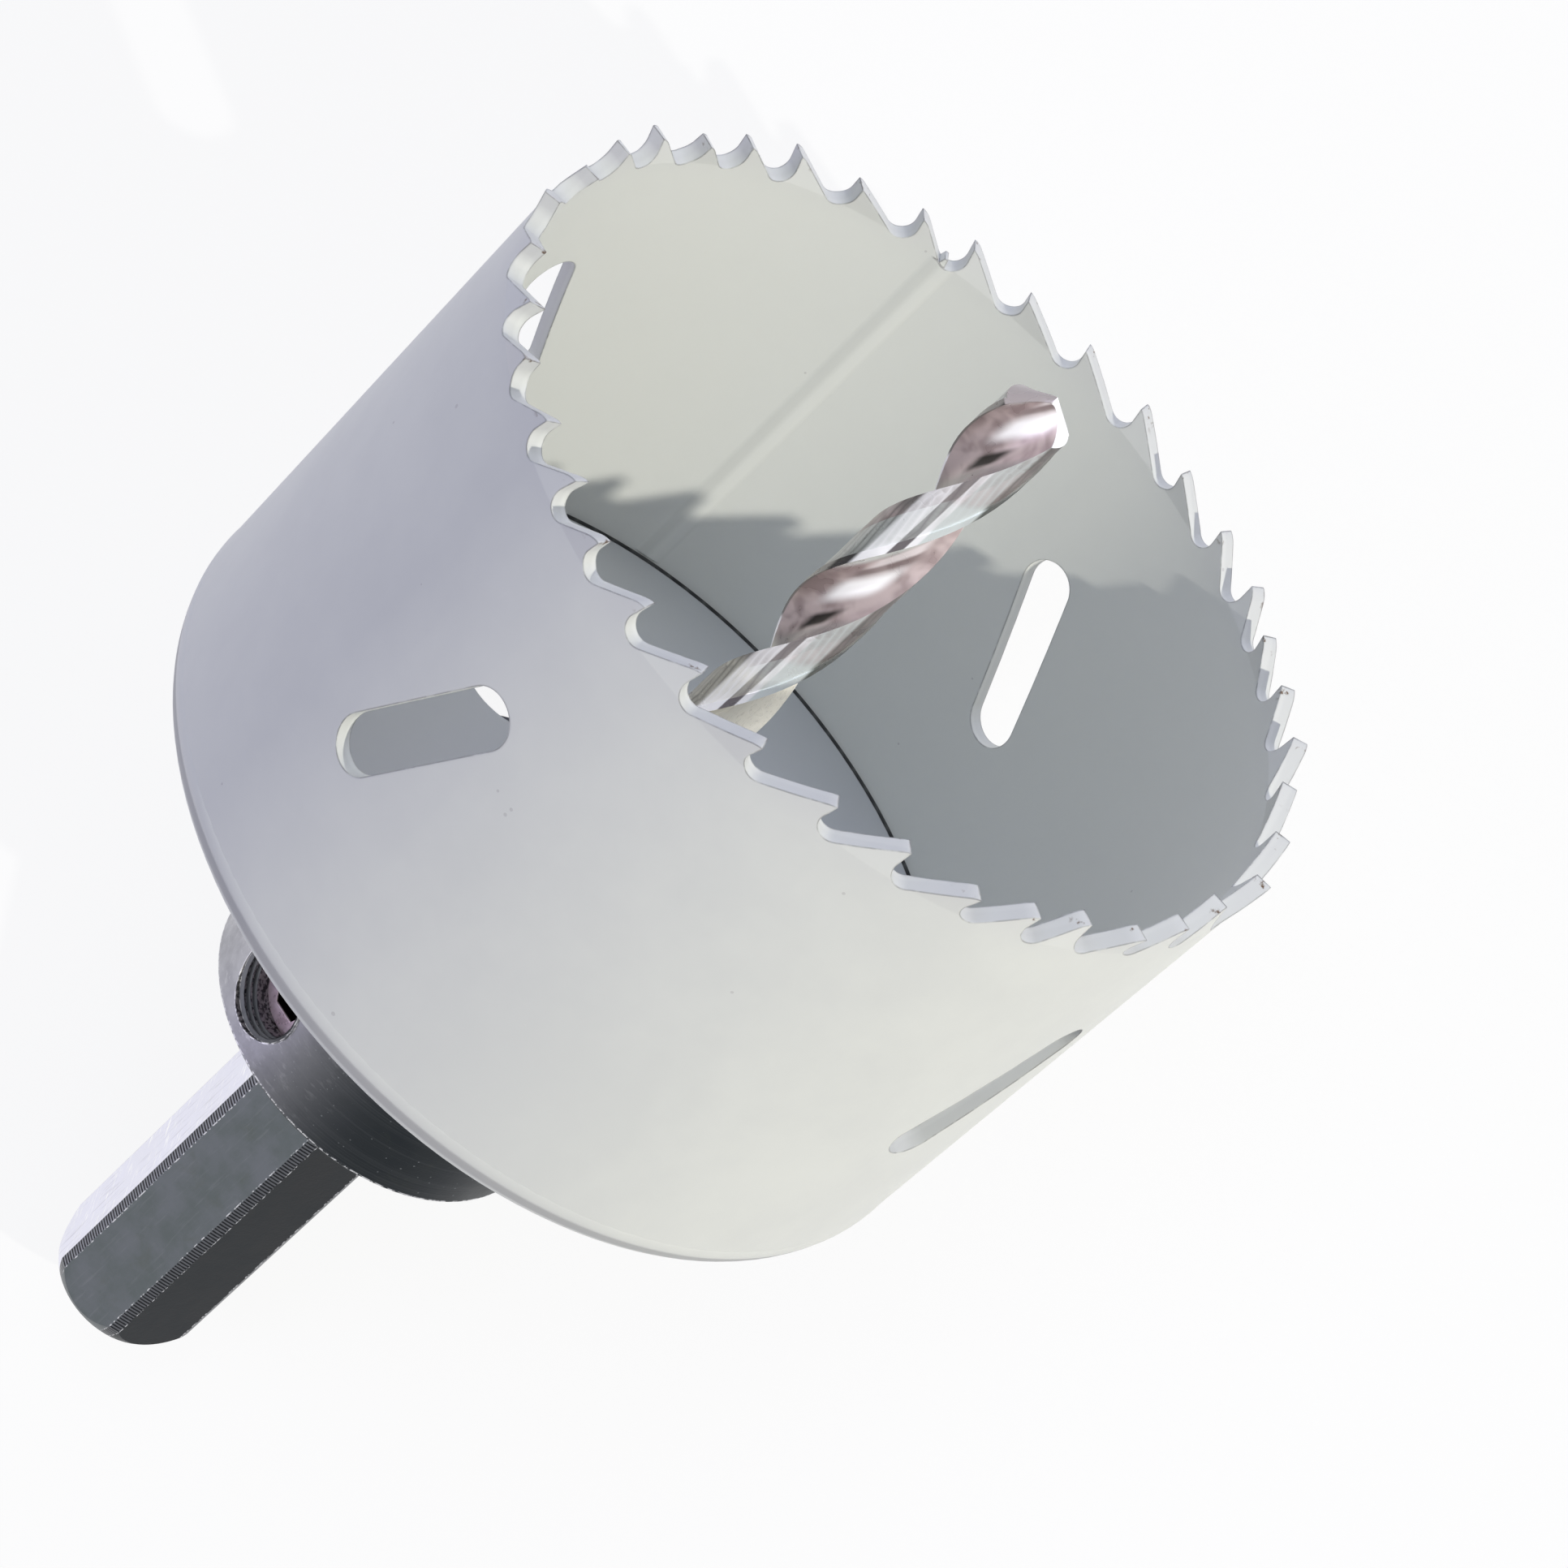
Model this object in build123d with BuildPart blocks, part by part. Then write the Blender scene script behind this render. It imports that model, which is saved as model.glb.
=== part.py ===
"""Hole saw of 68 mm on its hex-shank arbor, with the pilot drill held by a set screw.

Everything is drawn on the tool's own axis: +Z runs from the shank to the teeth, z = 0 is the
cup's back face, and azimuths run from +X, the side that the tool lies on. The last lines lay
the finished pieces on the floor, on the cup's back edge and the end of the shank.
"""
import os
from math import acos, asin, atan2, cos, degrees, hypot, pi, radians, sin, sqrt, tan

from build123d import *

# Cup: a rolled strip butt-welded into a tube, toothed at its front edge
cup_diameter = 68.0
cup_wall = 1.3
cup_height = 44.9  # back face of the end cap to the tooth tips
weld_azimuth = 32.4  # the strip's butt weld
weld_width = 2.3
weld_height = 0.15  # how far the weld stands proud inside
weld_nub = 0.7  # flash left standing in the gullet over the weld

# Teeth: raker set, with a pitch that swells and shrinks along the strip, weld to weld
tooth_groups = 13  # each group is one tooth out, one in, one straight
pitch_swell = 0.125  # how much longer or shorter a step gets, as a share of the mean
pitch_wave = 8.95  # teeth from one short pitch to the next
first_short_pitch = 6.5  # counted in teeth from the weld
weld_step = 8.3  # degrees from tip to tip over the weld
weld_gap = 2.0  # degrees from the weld to the first tip
tooth_set = 0.45
tooth_depth = 2.5
gullet_radius = 1.15
rake_angle = 12.0  # the cutting face leans forward over its gullet
relief_angle = 13.0  # the rounded back leaves the tip at this slope
back_rounding = 0.42  # radius of the tooth's back, as a share of the mean pitch
tip_land = 0.12

# Chip slots through the wall
slot_count = 4
slot_width = 4.3
slot_length = 15.8
slot_slant = 25.9  # from the tool's axis
slot_height = 24.2  # back face to the slot's middle
slot_azimuth = 77.0

# End cap: a thick disc let into the tube's back end and welded round its shoulder
cap_thickness = 5.5
cap_shoulder = 3.2  # the rim below the tube's edge, rounded over its whole height
cap_fit = 0.05  # clearance of the register in the tube
cap_chamfer = 0.3
drive_hole_diameter = 8.4
drive_hole_radius = 14.1  # from the axis
drive_hole_azimuth = 71.0
drive_hole_count = 2
drive_hole_rounding = 1.2

# Arbor: shank, collar and nose turned from one bar
collar_diameter = 30.0
collar_length = 22.2
collar_chamfer = 0.6
nose_diameter = 15.8
nose_fit = 0.04  # clearance of the nose in the cap
nose_length = 8.0
nose_chamfer = 0.8
shank_flats = 12.1  # across the flats of the hexagon
shank_corners = 13.5  # the corners are turned down to this diameter
shank_length = 37.45
shank_end_turned = 2.0  # length of the turned bevel at the shank's end
shank_end_angle = 18.0  # where the bevel leaves the corners, from the axis
shank_end_radius = 8.0  # the bevel's bow

# Set screw in the side of the collar
screw_diameter = 7.7
screw_fit = 0.05
screw_length = 10.0
screw_chamfer = 0.6
screw_socket = 4.0  # across the flats
screw_socket_depth = 4.5
screw_azimuth = 156.0
screw_from_back = 5.6  # middle of the screw to the collar's back face

# Pilot drill
drill_diameter = 5.6
drill_length = 87.0
drill_ahead = 13.6  # how far its point stands past the teeth
drill_fit = 0.06  # clearance in the arbor
drill_bore_spare = 1.0  # the bore runs this much deeper than the drill
point_angle = 104.0
flute_lead = 37.2
flute_length = 47.0
flute_radius = 2.4
flute_run_out = 7.0  # the flutes fade out over this length behind their full depth
flute_run_out_radius = 9.0
web_thickness = 0.9
margin_width = 0.6  # narrow strip at full diameter along each cutting edge
margin_relief = 0.14
lip_azimuth = -38.0
flat_length = 19.0
flat_depth = 0.5
drill_chamfer = 0.6

cup_radius = cup_diameter / 2
cup_bore = cup_radius - cup_wall
tooth_count = 3 * tooth_groups
tooth_root = cup_height - tooth_depth + 0.25
back_radius = back_rounding * pi * cup_diameter / tooth_count
drill_radius = drill_diameter / 2
drill_point = cup_height + drill_ahead
drill_end = drill_point - drill_length
screw_height = screw_from_back - collar_length


def wall_plane(azimuth, distance, height=0.0):
    """Plane facing outwards at an azimuth: x runs round the wall, y runs towards the teeth."""
    a = radians(azimuth)
    return Plane(
        origin=(distance * cos(a), distance * sin(a), height),
        x_dir=(-sin(a), cos(a), 0),
        z_dir=(cos(a), sin(a), 0),
    )


def axis_plane(azimuth):
    """Half plane through the axis at an azimuth: x is the radius, y is the height."""
    a = radians(azimuth)
    return Plane(origin=(0, 0, 0), x_dir=(cos(a), sin(a), 0), z_dir=(sin(a), -cos(a), 0))


# Steps from each tip to the next, starting at the weld; the one over the weld closes the ring
swells = []
for k in range(tooth_count - 1):
    swells.append(1 - pitch_swell * cos(2 * pi * (k - first_short_pitch) / pitch_wave))
steps = []
for swell in swells:
    steps.append(swell * (360 - weld_step) / sum(swells))
steps.append(weld_step)
# Tip azimuths, each lower than the last
tips = []
for k in range(tooth_count):
    tips.append(weld_azimuth - weld_gap - sum(steps[:k]))

# The gullet's circle touches the cutting face, and its lowest point is the tooth depth down
gullet_z = cup_height - tooth_depth + gullet_radius
rake = radians(rake_angle)
relief = radians(relief_angle)
rake_length = (cup_height - gullet_z - gullet_radius * sin(rake)) / cos(rake)
gullet_ahead = gullet_radius * cos(rake) - rake_length * sin(rake)  # from tip to circle centre

# Each gullet's middle, as an azimuth, also bounds the tooth behind it
gullet_azimuths = []
for k in range(tooth_count):
    gullet_azimuths.append(tips[k] - steps[k] + degrees(gullet_ahead / cup_radius))

with BuildPart() as saw_cup:
    with BuildSketch(axis_plane(0)):
        with BuildLine():
            Polyline(
                (cup_bore, cap_shoulder),
                (cup_radius, cap_shoulder),
                (cup_radius, tooth_root),
                (cup_bore, tooth_root),
                close=True,
            )
        make_face()
    revolve(axis=Axis.Z)
    # Butt weld, a low hump along the inside
    weld_half = degrees(weld_width / cup_bore) / 2
    weld_sides = (radians(weld_azimuth - weld_half), radians(weld_azimuth + weld_half))
    weld_crest = cup_bore - weld_height
    weld_back = cup_bore + cup_wall / 2
    with BuildSketch(Plane.XY.offset(cap_thickness + 0.3)):
        with BuildLine():
            ThreePointArc(
                (cup_bore * cos(weld_sides[0]), cup_bore * sin(weld_sides[0])),
                (weld_crest * cos(radians(weld_azimuth)), weld_crest * sin(radians(weld_azimuth))),
                (cup_bore * cos(weld_sides[1]), cup_bore * sin(weld_sides[1])),
            )
            Polyline(
                (cup_bore * cos(weld_sides[1]), cup_bore * sin(weld_sides[1])),
                (weld_back * cos(weld_sides[1]), weld_back * sin(weld_sides[1])),
                (weld_back * cos(weld_sides[0]), weld_back * sin(weld_sides[0])),
                (cup_bore * cos(weld_sides[0]), cup_bore * sin(weld_sides[0])),
            )
        make_face()
    extrude(amount=tooth_root - cap_thickness - 0.3)
    # Teeth before their gullets are cut: each third leans out, each third leans in
    for k in range(tooth_count):
        lean = (tooth_set, -tooth_set, 0)[k % 3]
        start = gullet_azimuths[k]
        reach = (gullet_azimuths[k - 1] - start) % 360
        with BuildSketch(axis_plane(start)):
            with BuildLine():
                Polyline(
                    (cup_bore, tooth_root),
                    (cup_radius, tooth_root),
                    (cup_radius + lean, cup_height),
                    (cup_bore + lean, cup_height),
                    close=True,
                )
            make_face()
        revolve(axis=Axis.Z, revolution_arc=reach)
    # Gullets: cutting face, round bottom, back slope and rounded back of the next tooth
    for k in range(tooth_count):
        span = cup_radius * radians(steps[k])
        left = -span / 2 + tip_land / 2
        right = span / 2 - tip_land / 2
        centre_x = left + gullet_ahead
        rake_foot = (left - rake_length * sin(rake), cup_height - rake_length * cos(rake))
        # Centre of the back's rounding, and the slope that touches it and the gullet's circle
        back_x = right + back_radius * sin(relief)
        back_z = cup_height - back_radius * cos(relief)
        slope = atan2(back_z - gullet_z, back_x - centre_x)
        slope += asin((back_radius + gullet_radius) / hypot(back_x - centre_x, back_z - gullet_z))
        touch = (centre_x + gullet_radius * sin(slope), gullet_z - gullet_radius * cos(slope))
        shoulder = (back_x - back_radius * sin(slope), back_z + back_radius * cos(slope))
        crown = (slope + relief) / 2
        with BuildSketch(wall_plane(tips[k] - steps[k] / 2, cup_bore - 2)):
            with BuildLine():
                Polyline((centre_x, cup_height + 2), (left, cup_height + 2), (left, cup_height), rake_foot)
                ThreePointArc(rake_foot, (centre_x, gullet_z - gullet_radius), touch)
                Line(touch, shoulder)
                ThreePointArc(
                    shoulder,
                    (back_x - back_radius * sin(crown), back_z + back_radius * cos(crown)),
                    (right, cup_height),
                )
                Polyline(
                    (right, cup_height),
                    (right, cup_height + 2),
                    (centre_x, cup_height + 2),
                )
            make_face()
    extrude(amount=cup_wall + 4, mode=Mode.SUBTRACT)
    # Flash of the weld, a small nub left standing in the gullet
    with BuildSketch(wall_plane(weld_azimuth, cup_bore)):
        with BuildLine():
            Polyline(
                (-weld_nub / 2, gullet_z - gullet_radius - 0.1),
                (weld_nub / 2, gullet_z - gullet_radius - 0.1),
                (weld_nub / 5, gullet_z - gullet_radius + weld_nub),
                (-weld_nub / 5, gullet_z - gullet_radius + weld_nub),
                close=True,
            )
        make_face()
    extrude(amount=cup_wall * 0.8)
    # Slanted slots through which the plug is levered out
    for k in range(slot_count):
        with BuildSketch(wall_plane(slot_azimuth + 360 * k / slot_count, cup_bore - 2, slot_height)):
            SlotOverall(slot_length, slot_width, rotation=90 - slot_slant)
    extrude(amount=cup_wall + 4, mode=Mode.SUBTRACT)

with BuildPart() as end_cap:
    cap_register = cup_bore - cap_fit
    cap_bore = nose_diameter / 2 + nose_fit
    with BuildSketch(axis_plane(0)):
        with BuildLine():
            Polyline((cap_bore, cap_thickness), (cap_bore, 0), (cup_radius - cap_shoulder, 0))
            RadiusArc(
                (cup_radius - cap_shoulder, 0),
                (cup_radius, cap_shoulder),
                -cap_shoulder,
            )
            Polyline(
                (cup_radius, cap_shoulder),
                (cap_register, cap_shoulder),
                (cap_register, cap_thickness - cap_chamfer),
                (cap_register - cap_chamfer, cap_thickness),
                (cap_bore, cap_thickness),
            )
        make_face()
    revolve(axis=Axis.Z)
    with BuildSketch(Plane.XY) as drive_holes:
        with PolarLocations(drive_hole_radius, drive_hole_count, start_angle=drive_hole_azimuth):
            Circle(drive_hole_diameter / 2)
    extrude(amount=cap_thickness, mode=Mode.SUBTRACT)
    hole_edges = end_cap.edges().filter_by(GeomType.CIRCLE)
    hole_edges = hole_edges.filter_by(lambda e: abs(e.radius - drive_hole_diameter / 2) < 1e-3)
    fillet(hole_edges, drive_hole_rounding)

with BuildPart() as arbor:
    shank_end = -collar_length - shank_length
    # Hexagon with its corners turned down
    with BuildSketch(Plane.XY.offset(shank_end)):
        RegularPolygon(shank_flats / 2, 6, major_radius=False, rotation=30)
        Circle(shank_corners / 2, mode=Mode.INTERSECT)
    extrude(amount=shank_length)
    # Bevel turned on the shank's end, slightly bowed
    bevel_top = shank_end + shank_end_turned
    bevel_centre_x = shank_corners / 2 - shank_end_radius * cos(radians(shank_end_angle))
    bevel_centre_z = bevel_top + shank_end_radius * sin(radians(shank_end_angle))
    bevel_foot_x = bevel_centre_x + sqrt(shank_end_radius**2 - (bevel_centre_z - shank_end) ** 2)
    with BuildSketch(axis_plane(0)):
        with BuildLine():
            RadiusArc((bevel_foot_x, shank_end), (shank_corners / 2, bevel_top), -shank_end_radius)
            Polyline(
                (shank_corners / 2, bevel_top),
                (shank_corners, bevel_top),
                (shank_corners, shank_end),
                (bevel_foot_x, shank_end),
            )
        make_face()
    revolve(axis=Axis.Z, mode=Mode.SUBTRACT)
    # Collar and nose
    with BuildSketch(axis_plane(0)):
        with BuildLine():
            Polyline(
                (0, -collar_length),
                (collar_diameter / 2 - collar_chamfer, -collar_length),
                (collar_diameter / 2, -collar_length + collar_chamfer),
                (collar_diameter / 2, -collar_chamfer / 2),
                (collar_diameter / 2 - collar_chamfer / 2, 0),
                (nose_diameter / 2, 0),
                (nose_diameter / 2, nose_length - nose_chamfer),
                (nose_diameter / 2 - nose_chamfer, nose_length),
                (0, nose_length),
                close=True,
            )
        make_face()
    revolve(axis=Axis.Z)
    # Bore for the pilot drill
    bore_floor = drill_end - drill_bore_spare
    with BuildSketch(Plane.XY.offset(bore_floor)):
        Circle(drill_radius + drill_fit)
    extrude(amount=nose_length - bore_floor, mode=Mode.SUBTRACT)
    # Cross hole for the set screw, from the collar's side into the bore
    with BuildSketch(wall_plane(screw_azimuth, 0, screw_height)):
        Circle(screw_diameter / 2)
    extrude(amount=collar_diameter, mode=Mode.SUBTRACT)

with BuildPart() as set_screw:
    # Its tip bears on the flat of the pilot drill
    screw_tip = drill_radius - flat_depth
    screw_radius = screw_diameter / 2 - screw_fit
    with BuildSketch(wall_plane(screw_azimuth, screw_tip, screw_height)):
        Circle(screw_radius)
    extrude(amount=screw_length)
    chamfer(set_screw.edges().filter_by(GeomType.CIRCLE), screw_chamfer)
    with BuildSketch(wall_plane(screw_azimuth, screw_tip + screw_length, screw_height)):
        RegularPolygon(screw_socket / 2, 6, major_radius=False, rotation=15)
    extrude(amount=-screw_socket_depth, mode=Mode.SUBTRACT)

with BuildPart() as pilot_drill:
    flute_start = drill_point - flute_length + flute_run_out
    point_rise = drill_radius / tan(radians(point_angle / 2))
    flute_offset = web_thickness / 2 + flute_radius
    # Half the angle that a flute opens at the drill's surface
    flute_half = degrees(
        acos((drill_radius**2 + flute_offset**2 - flute_radius**2) / (2 * drill_radius * flute_offset))
    )
    flute_turn = 360 * (drill_point - point_rise - flute_start) / flute_lead
    flute_azimuth = lip_azimuth + flute_half - flute_turn
    # Plain shank
    with BuildSketch(axis_plane(0)):
        with BuildLine():
            Polyline(
                (0, drill_end),
                (drill_radius - drill_chamfer, drill_end),
                (drill_radius, drill_end + drill_chamfer),
                (drill_radius, flute_start),
                (0, flute_start),
                close=True,
            )
        make_face()
    revolve(axis=Axis.Z)
    # Run-out of each flute into the shank
    for azimuth in (flute_azimuth, flute_azimuth + 180):
        with BuildSketch(axis_plane(azimuth)):
            with BuildLine():
                Line((flute_offset, flute_start), (flute_offset, flute_start - flute_run_out))
                RadiusArc(
                    (flute_offset, flute_start - flute_run_out),
                    (flute_offset + flute_radius, flute_start),
                    -flute_run_out_radius,
                )
                Line((flute_offset + flute_radius, flute_start), (flute_offset, flute_start))
            make_face()
        foot = (flute_offset * cos(radians(azimuth)), flute_offset * sin(radians(azimuth)), 0)
        revolve(axis=Axis(foot, (0, 0, 1)), mode=Mode.SUBTRACT)
    # Fluted body: two hollows and two relieved lands, carried up a right-hand helix
    margin = degrees(margin_width / drill_radius)
    land_radius = drill_radius - margin_relief
    land_arc = 180 - 2 * flute_half - margin + 4  # runs a little way out over the flute
    with BuildSketch(Plane.XY.offset(flute_start)) as fluted_section:
        Circle(drill_radius)
        for azimuth in (flute_azimuth, flute_azimuth + 180):
            land_start = azimuth - 180 + flute_half - 4
            land_end = land_start + land_arc
            with BuildLine():
                CenterArc((0, 0), land_radius, land_start, land_arc)
                CenterArc((0, 0), drill_diameter, land_start, land_arc)
                for edge in (radians(land_start), radians(land_end)):
                    Line(
                        (land_radius * cos(edge), land_radius * sin(edge)),
                        (drill_diameter * cos(edge), drill_diameter * sin(edge)),
                    )
            make_face(mode=Mode.SUBTRACT)
        with PolarLocations(flute_offset, 2, start_angle=flute_azimuth):
            Circle(flute_radius, mode=Mode.SUBTRACT)
    with BuildLine(mode=Mode.PRIVATE) as spine:
        Line((0, 0, flute_start), (0, 0, drill_point))
    with BuildLine(mode=Mode.PRIVATE) as twist:
        Helix(flute_lead, drill_point - flute_start, drill_radius, center=(0, 0, flute_start))
    sweep(path=spine.wire(), binormal=twist.wire().edges()[0])
    # Conical point
    with BuildSketch(axis_plane(0)):
        with BuildLine():
            Polyline(
                (0, drill_point),
                (drill_diameter, drill_point - 2 * point_rise),
                (drill_diameter, drill_point + 1),
                (0, drill_point + 1),
                close=True,
            )
        make_face()
    revolve(axis=Axis.Z, mode=Mode.SUBTRACT)
    # Flat that the set screw bears on
    with BuildSketch(wall_plane(screw_azimuth, drill_radius - flat_depth, drill_end)):
        with Locations((0, flat_length / 2)):
            Rectangle(drill_diameter, flat_length)
    extrude(amount=drill_radius, mode=Mode.SUBTRACT)

# How the tool lies: the floor touches the cap's rounded rim and the end of a shank flat
rim_x = cup_radius - cap_shoulder
heel_x = shank_flats / 2
heel_z = bevel_centre_z - sqrt(shank_end_radius**2 - (heel_x - bevel_centre_x) ** 2)
rim_angle = atan2(rim_x - heel_x, cap_shoulder - heel_z)
lean = rim_angle + asin(cap_shoulder / hypot(rim_x - heel_x, cap_shoulder - heel_z))
back_face_height = cap_shoulder + rim_x * cos(lean) - cap_shoulder * sin(lean)
# The origin is on the floor under the middle of the tool's length
front_x = cup_height * cos(lean) + cup_radius * sin(lean)
back_x = shank_end * cos(lean) - bevel_foot_x * sin(lean)
back_face_x = -(front_x + back_x) / 2
lying = Location((back_face_x, 0, back_face_height), (0, 90 - degrees(lean), 0))
print("lean", round(degrees(lean), 4), "middle of the back face", round(back_face_x, 4), round(back_face_height, 4))

os.makedirs("parts", exist_ok=True)
saw_cup.part.locate(lying)
saw_cup.part.label = "saw_cup"
export_step(saw_cup.part, "parts/saw_cup.step")
end_cap.part.locate(lying)
end_cap.part.label = "end_cap"
export_step(end_cap.part, "parts/end_cap.step")
arbor.part.locate(lying)
arbor.part.label = "arbor"
export_step(arbor.part, "parts/arbor.step")
set_screw.part.locate(lying)
set_screw.part.label = "set_screw"
export_step(set_screw.part, "parts/set_screw.step")
pilot_drill.part.locate(lying)
pilot_drill.part.label = "pilot_drill"
export_step(pilot_drill.part, "parts/pilot_drill.step")
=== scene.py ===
"""Looks of the hole saw: paint, steels, threads, weld bead, floor, lamps and camera."""
import math
from types import SimpleNamespace

import bpy
from mathutils import Matrix, Vector


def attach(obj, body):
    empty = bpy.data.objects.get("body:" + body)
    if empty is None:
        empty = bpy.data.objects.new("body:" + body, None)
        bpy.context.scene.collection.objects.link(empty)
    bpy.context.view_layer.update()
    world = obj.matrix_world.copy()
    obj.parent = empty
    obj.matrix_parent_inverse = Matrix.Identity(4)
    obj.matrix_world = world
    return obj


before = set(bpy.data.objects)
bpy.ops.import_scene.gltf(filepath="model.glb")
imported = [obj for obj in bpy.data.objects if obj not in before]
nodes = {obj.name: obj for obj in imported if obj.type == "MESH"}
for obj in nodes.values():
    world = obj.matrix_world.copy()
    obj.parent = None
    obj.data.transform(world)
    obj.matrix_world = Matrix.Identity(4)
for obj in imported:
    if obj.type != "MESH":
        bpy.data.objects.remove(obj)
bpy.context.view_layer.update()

# How the tool lies in the frame: its own axis runs from the shank to the teeth
tool_lean = math.radians(24.3631)
back_face = Vector((0.0008966, 0.0, 0.0299372))
tilt = math.pi / 2 - tool_lean
tool_to_floor = Matrix.Translation(back_face) @ Matrix.Rotation(tilt, 4, "Y")
frame_origin = tool_to_floor.inverted().to_translation()  # where the frame's origin lies on it

# Sizes shared with the solids, in metres; heights count along the axis from the cup's back face
cup_radius = 0.034
cup_bore = 0.0327
cup_height = 0.0449
weld_azimuth = math.radians(32.4)
cap_shoulder = 0.0032
cap_thickness = 0.0055
nose_radius = 0.0079
collar_radius = 0.015
collar_length = 0.0222
shank_length = 0.03745
shank_flats = 0.0121
shank_corners = 0.0135
screw_azimuth = math.radians(156.0)
screw_from_back = 0.0056
screw_face = 0.0123  # from the tool's axis
screw_hole_radius = 0.00385
drill_ahead = 0.0136
point_angle = math.radians(104.0)
flute_lead = 0.0372
flute_middle = math.radians(-188.0)  # where a flute would look at height 0
flute_edge = 0.00268  # the radius below which a point lies in a flute
flute_foot = 0.0272

collar_back = -collar_length
shank_end = collar_back - shank_length
screw_height = screw_from_back + collar_back
drill_point = cup_height + drill_ahead
point_slope = 1 / math.tan(point_angle / 2)
strip_start = math.acos(shank_flats / shank_corners)  # a flat's middle to the turned corner strip

# Finishes of the arbor, and painted reflection and shade that differ from side to side by the azimuth
# round the tool's axis
highlit_flat = math.radians(120.0)
shaded_flat = math.radians(-120.0)
flat_ends = (0.85, 0.875)  # cosines on both sides of a flat's half angle of 30 degrees
shaded_corner = math.radians(-150.0)
collar_highlight_side = math.radians(112.0)
hatch_pitch = 0.00034
hatch_wave = 2 * math.pi / hatch_pitch
edge_round = 0.00012  # how far the steels' sharp edges are rounded


def srgb(red, green, blue):
    """Linear colour of an sRGB value written in 0 to 255."""
    values = []
    for channel in (red, green, blue):
        c = channel / 255
        values.append(c / 12.92 if c <= 0.04045 else ((c + 0.055) / 1.055) ** 2.4)
    return (*values, 1.0)


# Painted reflections in bands along the drill's lands: from, to and blur in degrees round it, share and
# tone
band_origin = math.radians(-8.0)
band_drift = -3.5  # radians round the drill for each metre along it
land_reflections = (
    (60.0, 128.0, 8.0, 1.0, srgb(128, 124, 122)),
    (130.0, 143.0, 8.0, 0.97, srgb(30, 25, 29)),
    (176.0, 186.0, 2.4, 0.92, srgb(92, 84, 88)),
    (198.0, 236.0, 4.0, 0.80, srgb(204, 212, 212)),
    (236.0, 300.0, 8.0, 0.92, srgb(78, 80, 74)),
)

# Painted reflections in the flutes: from, to and blur in degrees of the way a flute looks, share and tone
look_drift = -350.0  # radians by which that way turns for each metre aside of the flute's middle
flute_reflections = (
    (20.0, 104.0, 16.0, 0.7, srgb(150, 146, 144)),
    (214.0, 330.0, 12.0, 0.85, srgb(206, 212, 210)),
)

# Painted reflection streaks in the flutes, as above, and from, to and blur in metres aside of the flute's
# middle
flute_reflection_streaks = (
    (186.0, 191.0, 5.0, 0.6, srgb(118, 104, 104), (-0.0003, 0.0012, 0.0006)),
    (197.0, 203.0, 6.0, 0.7, srgb(238, 230, 232), (-0.0001, 0.0011, 0.0006)),
    (161.0, 170.0, 18.0, 0.97, srgb(255, 253, 255), (-0.0002, 0.0009, 0.0008)),
    (120.0, 129.0, 10.0, 0.97, srgb(18, 11, 9), (0.0, 0.0006, 0.0007)),
)


# Nodes


def math_node(tree, operation, first, second=None, third=None):
    """Math node whose inputs are sockets or plain numbers; gives its output socket."""
    node = tree.nodes.new("ShaderNodeMath")
    node.operation = operation
    for i, value in enumerate((first, second, third)):
        if value is None:
            continue
        if isinstance(value, (int, float)):
            node.inputs[i].default_value = value
        else:
            tree.links.new(value, node.inputs[i])
    return node.outputs[0]


def times(tree, first, second):
    """Product of two sockets, or of a socket and a number."""
    return math_node(tree, "MULTIPLY", first, second)


def length_of(tree, first, second):
    """Length of a vector that has these two parts."""
    squares = math_node(tree, "MULTIPLY_ADD", second, second, times(tree, first, first))
    return math_node(tree, "SQRT", squares)


def cosine_from(tree, azimuth, direction):
    """Cosine of the angle between an azimuth socket and a direction."""
    return math_node(tree, "COSINE", math_node(tree, "SUBTRACT", azimuth, direction))


def noise_node(tree, vector, scale, detail=3.0, roughness=0.5, distortion=0.0):
    """Noise texture on a vector socket; gives its Fac socket."""
    node = tree.nodes.new("ShaderNodeTexNoise")
    node.inputs["Detail"].default_value = detail
    node.inputs["Roughness"].default_value = roughness
    node.inputs["Distortion"].default_value = distortion
    if isinstance(scale, (int, float)):
        node.inputs["Scale"].default_value = scale
    else:
        tree.links.new(scale, node.inputs["Scale"])
    tree.links.new(vector, node.inputs["Vector"])
    return node.outputs["Fac"]


def smooth_step(tree, value, low, high):
    """0 below low and 1 above high, or the other way round where low is the higher."""
    node = tree.nodes.new("ShaderNodeMapRange")
    node.interpolation_type = "SMOOTHSTEP"
    tree.links.new(value, node.inputs["Value"])
    if low <= high:
        node.inputs["From Min"].default_value = low
        node.inputs["From Max"].default_value = high
    else:
        node.inputs["From Min"].default_value = high
        node.inputs["From Max"].default_value = low
        node.inputs["To Min"].default_value = 1.0
        node.inputs["To Max"].default_value = 0.0
    return node.outputs["Result"]


def band(tree, value, low, high, blur):
    """1 between low and high, fading to 0 over the blur on both sides."""
    rise = smooth_step(tree, value, low - blur, low)
    fall = smooth_step(tree, value, high + blur, high)
    return times(tree, rise, fall)


def degree_band(tree, value, low, high, blur):
    """Band between two angles in degrees."""
    return band(tree, value, math.radians(low), math.radians(high), math.radians(blur))


def mix_colour(tree, factor, first, second):
    """Mix of two colours, each a socket or a tuple; gives the result socket."""
    node = tree.nodes.new("ShaderNodeMix")
    node.data_type = "RGBA"
    mixed = ((node.inputs[0], factor), (node.inputs[6], first), (node.inputs[7], second))
    for socket, value in mixed:
        if isinstance(value, tuple):
            socket.default_value = value
        else:
            tree.links.new(value, socket)
    return node.outputs[2]


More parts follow.
